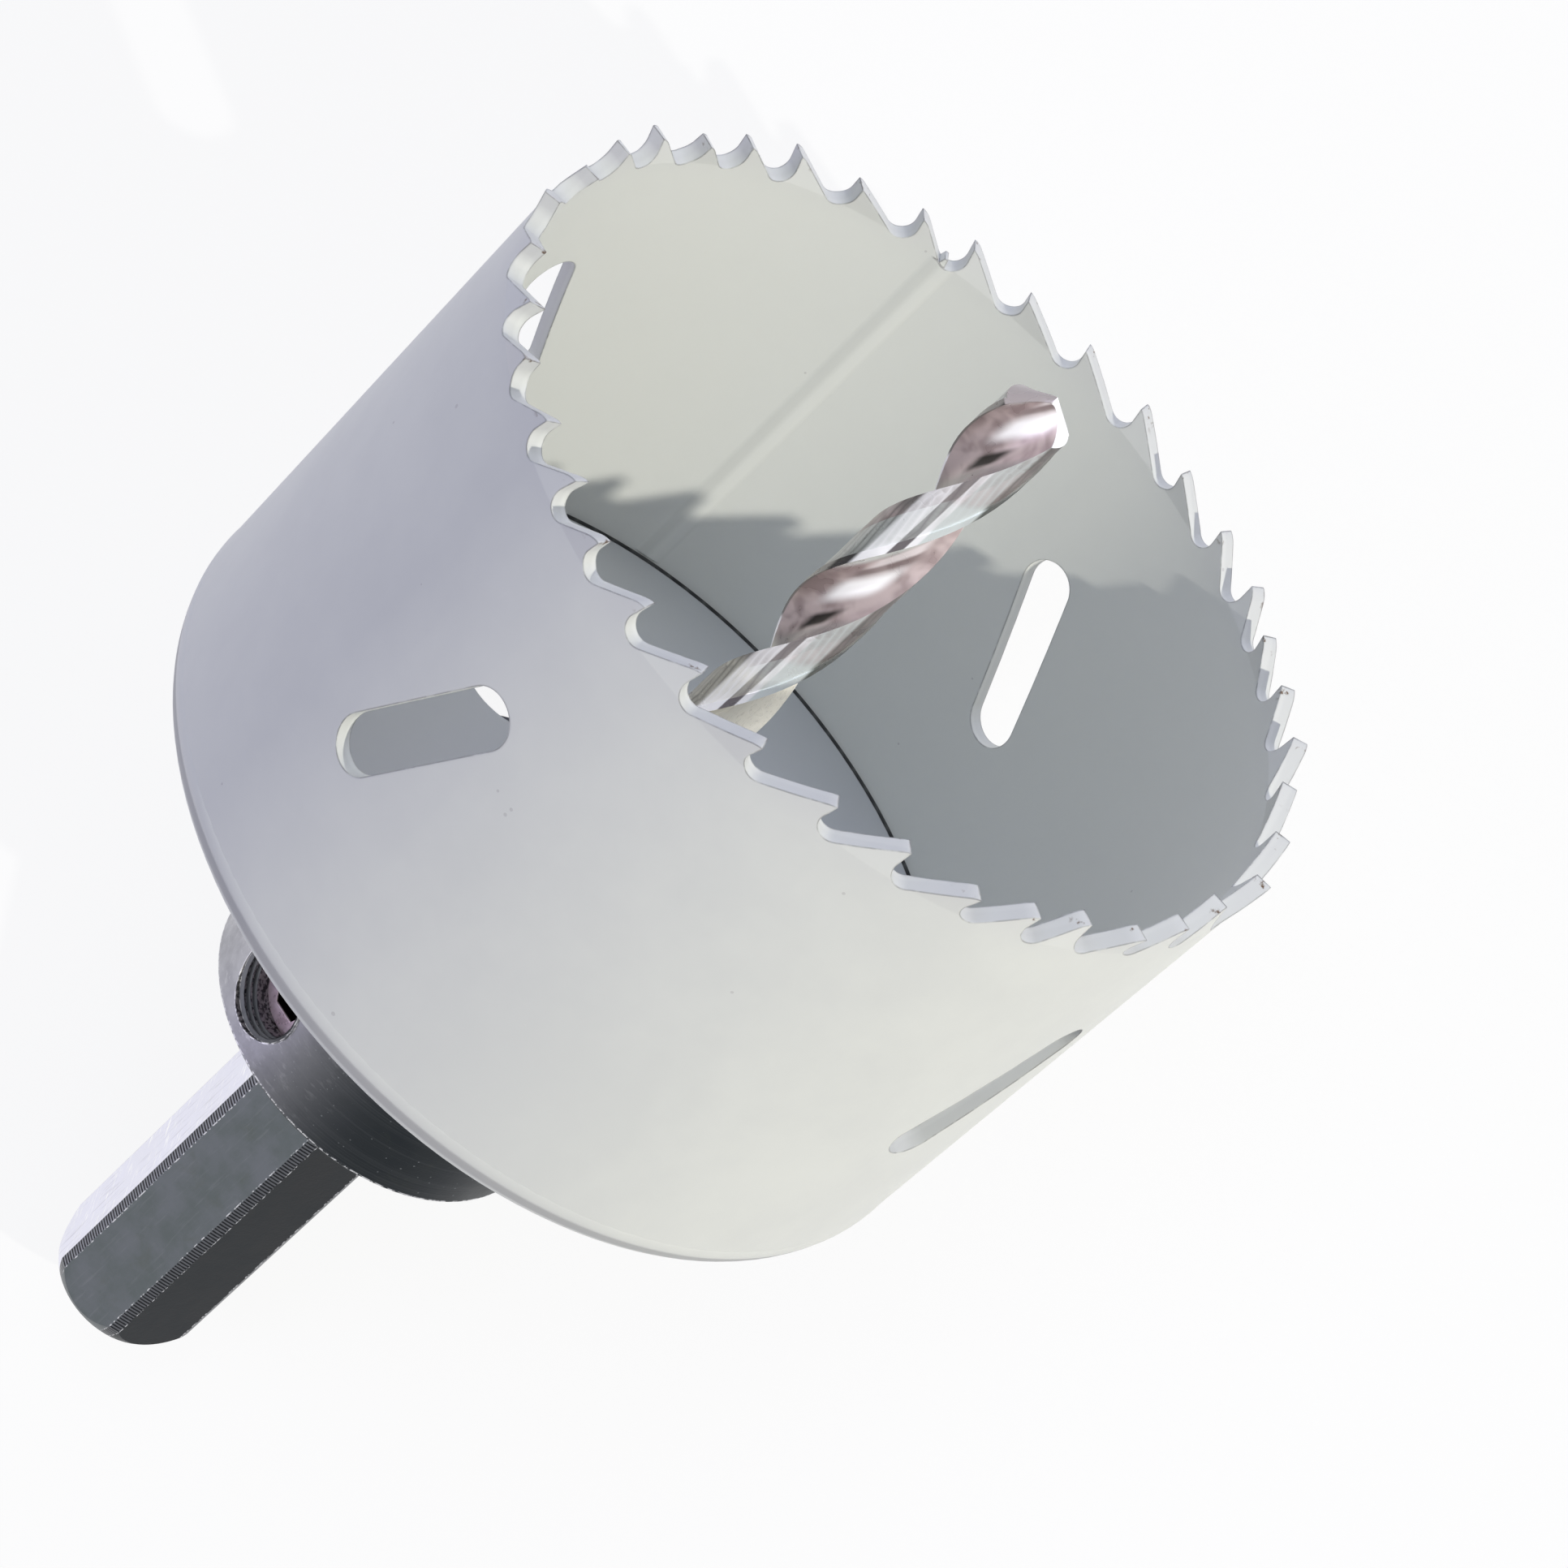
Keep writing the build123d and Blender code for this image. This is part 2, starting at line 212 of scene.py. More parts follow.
def mix_number(tree, factor, first, second):
    """Mix of two number sockets by a factor socket."""
    node = tree.nodes.new("ShaderNodeMix")
    node.data_type = "FLOAT"
    mixed = ((node.inputs[0], factor), (node.inputs[2], first), (node.inputs[3], second))
    for socket, value in mixed:
        tree.links.new(value, socket)
    return node.outputs[0]


def lay_over(tree, colour, mask, share, tone):
    """A tone laid over a colour where the mask is, by a share."""
    return mix_colour(tree, times(tree, mask, share), colour, tone)


# Shader groups that several finishes share


def new_group(name, inputs, outputs):
    """Empty shader group with (name, kind, value) inputs and (name, kind) outputs."""
    group = bpy.data.node_groups.new(name, "ShaderNodeTree")
    for label, kind, value in inputs:
        socket = group.interface.new_socket(name=label, in_out="INPUT", socket_type=kind)
        if value is not None:
            socket.default_value = value
    for label, kind in outputs:
        group.interface.new_socket(name=label, in_out="OUTPUT", socket_type=kind)
    return group, group.nodes.new("NodeGroupInput"), group.nodes.new("NodeGroupOutput")


def make_specks_group():
    """Small scattered specks of dust or dirt: a mask."""
    group, start, end = new_group(
        "small_specks",
        [
            ("Vector", "NodeSocketVector", None),
            ("Scale", "NodeSocketFloat", 900.0),
            ("Size", "NodeSocketFloat", 0.16),
        ],
        [("Mask", "NodeSocketFloat")],
    )
    cells = group.nodes.new("ShaderNodeTexVoronoi")
    cells.feature = "F1"
    group.links.new(start.outputs["Vector"], cells.inputs["Vector"])
    group.links.new(start.outputs["Scale"], cells.inputs["Scale"])
    parted = group.nodes.new("ShaderNodeSeparateColor")
    group.links.new(cells.outputs["Color"], parted.inputs[0])
    chosen = math_node(group, "GREATER_THAN", parted.outputs[0], 0.93)
    reach = times(group, start.outputs["Size"], parted.outputs[1])
    near = math_node(group, "LESS_THAN", cells.outputs["Distance"], reach)
    group.links.new(times(group, chosen, near), end.inputs["Mask"])
    return group


def make_turning_group():
    """Lines that a lathe tool leaves round the axis: a tone and a height."""
    group, start, end = new_group(
        "turning_lines",
        [("Vector", "NodeSocketVector", None), ("Lines", "NodeSocketFloat", 5000.0)],
        [("Tone", "NodeSocketFloat"), ("Height", "NodeSocketFloat")],
    )
    parted = group.nodes.new("ShaderNodeSeparateXYZ")
    group.links.new(start.outputs["Vector"], parted.inputs[0])
    place = group.nodes.new("ShaderNodeCombineXYZ")
    group.links.new(length_of(group, parted.outputs[0], parted.outputs[1]), place.inputs[0])
    group.links.new(parted.outputs[2], place.inputs[2])
    fine = noise_node(group, place.outputs[0], start.outputs["Lines"], 2.0, 0.6)
    wide = noise_node(group, place.outputs[0], 900.0, 2.0, 0.5)
    tone = math_node(group, "MULTIPLY_ADD", wide, 0.4, times(group, fine, 0.6))
    group.links.new(tone, end.inputs["Tone"])
    group.links.new(fine, end.inputs["Height"])
    return group


def make_mottle_group():
    """Cloudy patches in two sizes: a tone from 0 to 1."""
    group, start, end = new_group(
        "cloudy_patches",
        [("Vector", "NodeSocketVector", None), ("Scale", "NodeSocketFloat", 120.0)],
        [("Tone", "NodeSocketFloat")],
    )
    large = noise_node(group, start.outputs["Vector"], start.outputs["Scale"], 4.0, 0.55, 0.4)
    finer = times(group, start.outputs["Scale"], 4.7)
    small = noise_node(group, start.outputs["Vector"], finer, 3.0, 0.6)
    both = math_node(group, "MULTIPLY_ADD", small, 0.35, times(group, large, 0.65))
    group.links.new(smooth_step(group, both, 0.36, 0.64), end.inputs["Tone"])
    return group


def make_scratches_group():
    """Thin straight scratches in one direction, broken along their length: a mask."""
    group, start, end = new_group(
        "thin_scratches",
        [("Vector", "NodeSocketVector", None), ("Stretch", "NodeSocketVector", (1.0, 1.0, 1.0))],
        [("Mask", "NodeSocketFloat")],
    )
    stretched = group.nodes.new("ShaderNodeVectorMath")
    stretched.operation = "MULTIPLY"
    group.links.new(start.outputs["Vector"], stretched.inputs[0])
    group.links.new(start.outputs["Stretch"], stretched.inputs[1])
    streak = noise_node(group, stretched.outputs[0], 1.0, 3.0, 0.65)
    group.links.new(smooth_step(group, streak, 0.55, 0.72), end.inputs["Mask"])
    return group


specks_group = make_specks_group()
turning_group = make_turning_group()
mottle_group = make_mottle_group()
scratches_group = make_scratches_group()


# Finishes


def new_finish(name):
    """Material with a Principled shader and the tool's own coordinates."""
    material = bpy.data.materials.new(name)
    material.use_nodes = True
    tree = material.node_tree
    shader = tree.nodes["Principled BSDF"]
    source = tree.nodes.new("ShaderNodeTexCoord")
    turned = tree.nodes.new("ShaderNodeMapping")
    turned.inputs["Rotation"].default_value = (0.0, -tilt, 0.0)
    turned.inputs["Location"].default_value = frame_origin
    tree.links.new(source.outputs["Object"], turned.inputs["Vector"])
    return material, tree, shader, turned.outputs["Vector"]


def use_group(tree, group, vector, **values):
    """Shared group placed in a finish with its own values."""
    node = tree.nodes.new("ShaderNodeGroup")
    node.node_tree = group
    tree.links.new(vector, node.inputs["Vector"])
    for label, value in values.items():
        node.inputs[label].default_value = value
    return node.outputs


def locate(tree, tool):
    """Where a point lies on the tool, as sockets: across the axis, along it and round it."""
    parted = tree.nodes.new("ShaderNodeSeparateXYZ")
    tree.links.new(tool, parted.inputs[0])
    x, y, height = parted.outputs
    azimuth = math_node(tree, "ARCTAN2", y, x)
    return SimpleNamespace(x=x, y=y, height=height, radius=length_of(tree, x, y), azimuth=azimuth)


def from_screw_axis(tree, place):
    """Distance of a point from the set screw's own axis."""
    part = times(tree, place.x, -math.sin(screw_azimuth))
    aside = math_node(tree, "MULTIPLY_ADD", place.y, math.cos(screw_azimuth), part)
    return length_of(tree, math_node(tree, "SUBTRACT", place.height, screw_height), aside)


def bump_from(tree, shader, height, strength, distance, normal=None):
    """Bump node from a height socket into the shader's normal, over another normal if given."""
    bump = tree.nodes.new("ShaderNodeBump")
    bump.inputs["Strength"].default_value = strength
    bump.inputs["Distance"].default_value = distance
    tree.links.new(height, bump.inputs["Height"])
    if normal is not None:
        tree.links.new(normal, bump.inputs["Normal"])
    tree.links.new(bump.outputs["Normal"], shader.inputs["Normal"])


def soft_edges(tree, radius):
    """Normal that rounds sharp edges over a small radius."""
    node = tree.nodes.new("ShaderNodeBevel")
    node.samples = 4
    node.inputs["Radius"].default_value = radius
    return node.outputs["Normal"]


def sharp_edges(tree, radius):
    """1 on both sides of a sharp edge, as far as the radius, and 0 elsewhere."""
    geometry = tree.nodes.new("ShaderNodeNewGeometry")
    agree = tree.nodes.new("ShaderNodeVectorMath")
    agree.operation = "DOT_PRODUCT"
    tree.links.new(soft_edges(tree, radius), agree.inputs[0])
    tree.links.new(geometry.outputs["Normal"], agree.inputs[1])
    return smooth_step(tree, agree.outputs["Value"], 0.985, 0.88)


def make_cup_paint():
    """Satin grey-white paint with a faint orange peel, dust, and dirt at the tooth tips."""
    material, tree, shader, tool = new_finish("cup_paint")
    place = locate(tree, tool)
    clouds = use_group(tree, mottle_group, tool, Scale=38.0)["Tone"]
    colour = mix_colour(tree, clouds, srgb(209, 211, 208), srgb(214, 216, 212))
    # Painted light: the inside of the cup is painted a little lighter than the outside
    inside = smooth_step(tree, place.radius, cup_bore + 0.0006, cup_bore + 0.0003)
    colour = mix_colour(tree, inside, colour, srgb(217, 219, 215))

    # Painted shade on one flank of the strip's weld ridge and a painted highlight on the other
    weld_shade_flank = band(tree, place.azimuth, weld_azimuth + 0.010, weld_azimuth + 0.024, 0.010)
    colour = lay_over(tree, colour, times(tree, weld_shade_flank, inside), 0.18, srgb(178, 180, 176))
    weld_highlight_flank = band(tree, place.azimuth, weld_azimuth - 0.024, weld_azimuth - 0.006, 0.008)
    colour = lay_over(tree, colour, times(tree, weld_highlight_flank, inside), 0.22, srgb(236, 238, 234))

    # Painted shade: the end cap's floor, at the bottom of the cup, is painted darker
    floor_level = band(tree, place.height, cap_thickness - 0.0003, cap_thickness + 0.0001, 0.0001)
    floor_part = smooth_step(tree, place.radius, cup_bore - 0.0002, cup_bore - 0.0004)
    colour = mix_colour(tree, times(tree, floor_level, floor_part), colour, srgb(188, 191, 192))

    # Fine dust, dark and light
    dust = use_group(tree, specks_group, tool, Scale=560.0, Size=0.11)["Mask"]
    colour = lay_over(tree, colour, dust, 0.55, srgb(132, 130, 128))
    lint = use_group(tree, specks_group, tool, Scale=560.0, Size=0.12)["Mask"]
    colour = lay_over(tree, colour, lint, 0.3, srgb(236, 237, 236))

    # Greyer film where the paint thins on the teeth, and brown dirt in the corners of their tips
    film = smooth_step(tree, place.height, cup_height - 0.0044, cup_height + 0.0001)
    colour = lay_over(tree, colour, film, 0.30, srgb(198, 198, 202))
    grime = smooth_step(tree, noise_node(tree, tool, 1100.0, 4.0, 0.6), 0.60, 0.70)
    at_tips = smooth_step(tree, place.height, cup_height - 0.0010, cup_height - 0.0002)
    colour = mix_colour(tree, times(tree, grime, at_tips), colour, srgb(104, 82, 62))

    # Dark gap all round the end cap, where it is let into the tube
    gap = band(tree, place.radius, cup_bore - 0.0003, cup_bore - 0.00002, 0.00008)
    gap_level = band(tree, place.height, cap_thickness - 0.0005, cap_thickness + 0.00006, 0.00006)
    colour = lay_over(tree, colour, times(tree, gap, gap_level), 0.92, srgb(36, 38, 40))

    # Painted shade: thin broken dark lines along the sharp edges and creases
    broken = smooth_step(tree, noise_node(tree, tool, 700.0, 3.0, 0.6), 0.34, 0.56)
    edges = times(tree, broken, sharp_edges(tree, 0.00018))
    colour = lay_over(tree, colour, edges, 0.80, srgb(104, 100, 104))

    # Painted shade: a thin grey line round the rounded back edge, drawing it as a dark outline
    back_edge_shade = band(tree, place.height, cap_shoulder - 0.0014, cap_shoulder - 0.0008, 0.0004)
    colour = lay_over(tree, colour, back_edge_shade, 0.5, srgb(118, 118, 124))

    tree.links.new(colour, shader.inputs["Base Color"])
    shader.inputs["Roughness"].default_value = 0.48
    shader.inputs["Specular IOR Level"].default_value = 0.22
    peel = noise_node(tree, tool, 1500.0, 2.0, 0.5)
    sag = noise_node(tree, tool, 160.0, 2.0, 0.5)
    shape = math_node(tree, "MULTIPLY_ADD", sag, 1.6, times(tree, peel, 0.25))
    bump_from(tree, shader, shape, 0.22, 0.00012, soft_edges(tree, 0.00022))
    return material


def colour_flats(tree, tool, place, clouds, rust):
    """Flats of the shank, each painted its own tone from bright to nearly black, as painted reflection and
    shade.
    """
    along_flat = use_group(tree, scratches_group, tool, Stretch=(3600.0, 3600.0, 260.0))["Mask"]
    across_flat = use_group(tree, scratches_group, tool, Stretch=(420.0, 420.0, 4200.0))["Mask"]
    flats = mix_colour(tree, clouds, srgb(92, 98, 100), srgb(103, 107, 112))
    flats = lay_over(tree, flats, rust, 0.22, srgb(84, 88, 76))
    flats = lay_over(tree, flats, along_flat, 0.10, srgb(150, 152, 158))
    # Painted shade: the flat on the dark side is painted nearly black
    on_shaded_flat = smooth_step(tree, cosine_from(tree, place.azimuth, shaded_flat), *flat_ends)
    dark = mix_colour(tree, clouds, srgb(23, 26, 30), srgb(33, 37, 41))
    flats = mix_colour(tree, on_shaded_flat, flats, dark)
    # Painted reflection: the flat on the bright side is painted nearly white
    on_highlit_flat = smooth_step(tree, cosine_from(tree, place.azimuth, highlit_flat), *flat_ends)
    bright = mix_colour(tree, across_flat, srgb(232, 232, 244), srgb(255, 255, 255))
    bright = lay_over(tree, bright, along_flat, 0.40, srgb(176, 174, 184))
    return mix_colour(tree, on_highlit_flat, flats, bright)


def colour_strips(tree, place, chips):
    """Corner strips of the shank, hatched crosswise by the tool that turned them down."""
    hatch = math_node(tree, "SINE", times(tree, place.height, hatch_wave))
    hatch = math_node(tree, "MULTIPLY_ADD", chips, 1.6, hatch)
    strips = mix_colour(tree, smooth_step(tree, hatch, 0.1, 1.5), srgb(34, 35, 38), srgb(128, 130, 136))
    # Painted shade: the corner strip on the low side, next to the shaded flat, is painted darker
    on_shaded_corner = smooth_step(tree, cosine_from(tree, place.azimuth, shaded_corner), 0.97, 0.98)
    return lay_over(tree, strips, on_shaded_corner, 0.5, srgb(34, 36, 40))


def colour_collar(tree, tool, place, clouds, rust, turning, in_hole):
    """Collar: darker, with a painted reflection that makes it light on the set screw's side and painted
    shade that makes it nearly black on the far side, with nicks and turning lines.
    """
    # Painted reflection and shade: the collar runs from light on the set screw's side to nearly black on
    # the far side
    collar_highlight = smooth_step(tree, cosine_from(tree, place.azimuth, collar_highlight_side), -0.35, 1.05)
    collar_highlight = math_node(tree, "POWER", collar_highlight, 2.0)
    collar = mix_colour(tree, collar_highlight, srgb(38, 42, 46), srgb(178, 178, 185))
    collar = lay_over(tree, collar, clouds, 0.28, srgb(52, 55, 56))
    collar = lay_over(tree, collar, rust, 0.18, srgb(74, 78, 62))
    nicks = use_group(tree, scratches_group, tool, Stretch=(1500.0, 700.0, 2100.0))["Mask"]
    nicks = times(tree, nicks, times(tree, collar_highlight, 0.35))
    collar = mix_colour(tree, nicks, collar, srgb(206, 206, 210))
    lines = smooth_step(tree, turning["Tone"], 0.48, 0.64)
    collar = lay_over(tree, collar, lines, 0.05, srgb(150, 152, 156))
    flecks = use_group(tree, specks_group, tool, Scale=4200.0, Size=0.36)["Mask"]
    collar = lay_over(tree, collar, flecks, 0.25, srgb(150, 154, 158))
    bevel = band(tree, place.height, collar_back - 0.0001, collar_back + 0.00052, 0.00006)
    bevel_part = smooth_step(tree, place.radius, collar_radius - 0.0009, collar_radius - 0.0006)
    collar = lay_over(tree, collar, times(tree, bevel, bevel_part), 0.45, srgb(40, 42, 46))
    # Painted shade: the inside of the set screw's hole is painted dark
    return lay_over(tree, collar, in_hole, 0.75, srgb(72, 74, 80))


def make_arbor_steel():
    """Dark oiled steel: turned collar, ground flats, hatched corners and bright worn edges."""
    material, tree, shader, tool = new_finish("arbor_steel")
    place = locate(tree, tool)
    turning = use_group(tree, turning_group, tool, Lines=5200.0)
    clouds = use_group(tree, mottle_group, tool, Scale=150.0)["Tone"]
    grain = use_group(tree, mottle_group, tool, Scale=900.0)["Tone"]
    chips = noise_node(tree, tool, 2600.0, 2.0, 0.7)
    rust = smooth_step(tree, noise_node(tree, tool, 330.0, 4.0, 0.6, 0.5), 0.55, 0.74)

    # Shank, with its corner strips and its turned end
    folded = math_node(tree, "ABSOLUTE", math_node(tree, "WRAP", place.azimuth, math.pi / 6, -math.pi / 6))
    on_strip = smooth_step(tree, folded, strip_start - 0.006, strip_start + 0.004)
    flats = colour_flats(tree, tool, place, clouds, rust)
    shank = mix_colour(tree, on_strip, flats, colour_strips(tree, place, chips))
    turned_end = mix_colour(tree, turning["Tone"], srgb(66, 69, 72), srgb(132, 134, 138))
    at_end = smooth_step(tree, place.height, shank_end + 0.0001, shank_end + 0.00003)
    shank = mix_colour(tree, at_end, shank, turned_end)
    worn = band(tree, folded, strip_start - 0.012, strip_start - 0.004, 0.004)
    worn = times(tree, worn, smooth_step(tree, chips, 0.50, 0.60))

    # Collar, with a bright rim and a bright burr round the set screw's hole
    from_hole = from_screw_axis(tree, place)
    hole_side = math_node(tree, "GREATER_THAN", cosine_from(tree, place.azimuth, screw_azimuth), 0.5)
    in_hole = smooth_step(tree, from_hole, screw_hole_radius + 0.00004, screw_hole_radius + 0.00002)
    in_hole = times(tree, in_hole, hole_side)
    collar = colour_collar(tree, tool, place, clouds, rust, turning, in_hole)
    rim = band(tree, place.height, collar_back + 0.00058, collar_back + 0.00070, 0.00005)
    burr = band(tree, from_hole, screw_hole_radius, screw_hole_radius + 0.00008, 0.00005)
    rim = math_node(tree, "MAXIMUM", rim, times(tree, burr, hole_side))
    rim = times(tree, rim, smooth_step(tree, chips, 0.42, 0.56))

    on_collar = smooth_step(tree, place.height, collar_back - 0.00012, collar_back - 0.00004)
    colour = mix_colour(tree, on_collar, shank, collar)
    colour = lay_over(tree, colour, mix_number(tree, on_collar, worn, rim), 0.8, srgb(214, 214, 218))
    tree.links.new(colour, shader.inputs["Base Color"])
    shader.inputs["Metallic"].default_value = 1.0
    rough = math_node(tree, "MULTIPLY_ADD", clouds, 0.10, 0.34)
    tree.links.new(rough, shader.inputs["Roughness"])
    shape = math_node(tree, "MULTIPLY_ADD", turning["Height"], 0.25, times(tree, grain, 0.6))
    bump_from(tree, shader, shape, 0.25, 0.00002, soft_edges(tree, edge_round))
    return material


def colour_flutes(tree, tool, place, patch):
    """Rosy flutes of the drill with painted reflection streaks, and their foot as the grinding wheel cut
    it.
    """
    # How far aside of its flute's middle a point lies, and which way that flute looks there
    unwound = math_node(tree, "MULTIPLY_ADD", place.height, -2 * math.pi / flute_lead, place.azimuth)
    off = math_node(tree, "SUBTRACT", unwound, flute_middle)
    off = math_node(tree, "WRAP", off, math.pi / 2, -math.pi / 2)
    aside = times(tree, place.radius, math_node(tree, "SINE", off))
    looks = math_node(tree, "WRAP", math_node(tree, "SUBTRACT", place.azimuth, off), 2 * math.pi, 0.0)
    looks = math_node(tree, "MULTIPLY_ADD", aside, look_drift, looks)
    patches = smooth_step(tree, patch, 0.36, 0.64)
    flutes = mix_colour(tree, patches, srgb(146, 130, 130), srgb(190, 174, 174))
    for start, end, blur, share, tone in flute_reflections:
        flutes = lay_over(tree, flutes, degree_band(tree, looks, start, end, blur), share, tone)
    for start, end, blur, share, tone, strip in flute_reflection_streaks:
        streak = times(tree, degree_band(tree, looks, start, end, blur), band(tree, aside, *strip))
        flutes = lay_over(tree, flutes, streak, share, tone)
    wheel_marks = use_group(tree, scratches_group, tool, Stretch=(9000.0, 9000.0, 600.0))["Mask"]
    ground = mix_colour(tree, wheel_marks, srgb(220, 216, 204), srgb(190, 185, 172))
    at_foot = smooth_step(tree, place.height, flute_foot + 0.001, flute_foot - 0.001)
    return mix_colour(tree, at_foot, flutes, ground)


def make_drill_steel():
    """Polished steel: painted reflections in straight bands along the lands, rosy flutes with painted
    reflection streaks, and a cone painted half in highlight and half in shade.
    """
    material, tree, shader, tool = new_finish("drill_steel")
    place = locate(tree, tool)
    patch = noise_node(tree, tool, 420.0, 2.0, 0.5, 0.4)
    # The painted reflection bands run along the drill and drift a little round it, so they are measured
    # from a slant
    slant = math_node(tree, "MULTIPLY_ADD", place.height, band_drift, place.azimuth)
    round_drill = math_node(tree, "WRAP", slant, band_origin + 2 * math.pi, band_origin)
    brushed = use_group(tree, scratches_group, tool, Stretch=(2600.0, 2600.0, 160.0))["Mask"]
    lands = mix_colour(tree, brushed, srgb(252, 250, 254), srgb(236, 233, 238))
    for start, end, blur, share, tone in land_reflections:
        lands = lay_over(tree, lands, degree_band(tree, round_drill, start, end, blur), share, tone)
    in_flute = smooth_step(tree, place.radius, flute_edge, flute_edge - 0.00006)
    over_cone = math_node(tree, "MULTIPLY_ADD", place.radius, point_slope, place.height)
    below_point = smooth_step(tree, over_cone, drill_point - 0.00004, drill_point - 0.00012)
    flutes = colour_flutes(tree, tool, place, patch)
    colour = mix_colour(tree, times(tree, in_flute, below_point), lands, flutes)
    # Painted highlight on one half of the cone and painted shade on the other
    cone_highlight_half = smooth_step(tree, round_drill, 3.0, 3.5)
    cone = mix_colour(tree, cone_highlight_half, srgb(150, 142, 142), srgb(250, 250, 252))
    colour = mix_colour(tree, below_point, cone, colour)
    tree.links.new(colour, shader.inputs["Base Color"])
    shader.inputs["Metallic"].default_value = 0.35
    rough = math_node(tree, "MULTIPLY_ADD", patch, 0.06, 0.25)
    tree.links.new(rough, shader.inputs["Roughness"])
    bump_from(tree, shader, patch, 0.04, 0.00002)
    return material


def make_screw_steel():
    """Bare steel of the set screw, with dark specks, and painted shade that makes it nearly black inside
    its socket.
    """
    material, tree, shader, tool = new_finish("screw_steel")
    place = locate(tree, tool)
    clouds = use_group(tree, mottle_group, tool, Scale=700.0)["Tone"]
    colour = mix_colour(tree, clouds, srgb(222, 198, 204), srgb(244, 224, 230))
    specks = use_group(tree, specks_group, tool, Scale=3600.0, Size=0.22)["Mask"]
    colour = lay_over(tree, colour, specks, 0.5, srgb(70, 60, 58))
    # Painted shade: the inside of the hex socket is painted nearly black
    out_x = times(tree, place.x, math.cos(screw_azimuth))
    outward = math_node(tree, "MULTIPLY_ADD", place.y, math.sin(screw_azimuth), out_x)
    deep = smooth_step(tree, outward, screw_face - 0.00006, screw_face - 0.00016)
    near_axis = smooth_step(tree, from_screw_axis(tree, place), 0.0028, 0.0027)
    colour = mix_colour(tree, times(tree, deep, near_axis), colour, srgb(26, 20, 19))
    tree.links.new(colour, shader.inputs["Base Color"])
    shader.inputs["Metallic"].default_value = 0.35
    rough = math_node(tree, "MULTIPLY_ADD", clouds, 0.12, 0.26)
    tree.links.new(rough, shader.inputs["Roughness"])
    grit = noise_node(tree, tool, 3000.0, 2.0, 0.6)
    bump_from(tree, shader, grit, 0.3, 0.00002, soft_edges(tree, edge_round))
    return material


cup_paint = make_cup_paint()
arbor_steel = make_arbor_steel()
drill_steel = make_drill_steel()
screw_steel = make_screw_steel()
finish_of = {
    "saw_cup": cup_paint,
    "end_cap": cup_paint,
    "arbor": arbor_steel,
    "set_screw": screw_steel,
    "pilot_drill": drill_steel,
}
for name, node in nodes.items():
    node.data.materials.clear()
    node.data.materials.append(finish_of[name])
nodes["pilot_drill"].visible_shadow = False


# Threads and weld bead, modelled on the tool's own axis and then laid down with it


def start_edit(piece):
    """Selects only this piece and opens it for editing."""
    bpy.ops.object.select_all(action="DESELECT")
    piece.select_set(True)
    bpy.context.view_layer.objects.active = piece
    bpy.ops.object.mode_set(mode="EDIT")


def stand_section(name, corners, rise, spread, radius, height):
    """Closed section in the XZ plane at a radius, with its first corner pointing out from Z."""
    bpy.ops.object.select_all(action="DESELECT")
    upright = (math.pi / 2, math.pi / 2, 0.0)
    bpy.ops.mesh.primitive_circle_add(vertices=corners, radius=1.0, fill_type="NOTHING", rotation=upright)
    piece = bpy.context.object
    piece.name = name
    piece.data.name = name
    bpy.ops.object.transform_apply(location=True, rotation=True, scale=True)
    start_edit(piece)
    bpy.ops.mesh.select_all(action="SELECT")
    bpy.ops.transform.resize(value=(rise, 1.0, spread), center_override=(0.0, 0.0, 0.0))
    bpy.ops.transform.translate(value=(radius, 0.0, height))
    bpy.ops.object.mode_set(mode="OBJECT")
    return piece


def wind(piece, pitch, turns, steps):
    """Winds the section into a helix round Z with a Screw modifier, closed at its ends."""
    screw = piece.modifiers.new("wind", "SCREW")
    screw.axis = "Z"
    screw.angle = 2 * math.pi * turns
    screw.screw_offset = pitch * turns
    screw.steps = steps
    screw.render_steps = steps
    screw.use_merge_vertices = False
    screw.use_smooth_shade = False
    bpy.ops.object.modifier_apply(modifier="wind")
    start_edit(piece)
    bpy.ops.mesh.select_all(action="DESELECT")
    bpy.ops.mesh.select_non_manifold()
    bpy.ops.mesh.edge_face_add()
    bpy.ops.mesh.select_all(action="SELECT")
    bpy.ops.mesh.normals_make_consistent(inside=False)
    bpy.ops.object.mode_set(mode="OBJECT")
    bpy.ops.object.shade_smooth_by_angle(angle=math.radians(35))


def lay_down(piece, placed):
    """Lays a finished piece where it belongs and applies its place to its mesh."""
    bpy.ops.object.select_all(action="DESELECT")
    piece.select_set(True)
    bpy.context.view_layer.objects.active = piece
    piece.matrix_world = placed
    bpy.ops.object.transform_apply(location=True, rotation=True, scale=True)


# Thread on the nose, where it comes out of the end cap
nose_thread = stand_section(
    "nose_thread",
    corners=3,
    rise=0.00035,
    spread=0.00069,
    radius=nose_radius + 0.00007,
    height=cap_thickness + 0.0004,
)
wind(nose_thread, pitch=0.0014, turns=0.9, steps=72)
lay_down(nose_thread, tool_to_floor)
nose_thread.data.materials.append(arbor_steel)
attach(nose_thread, "root")

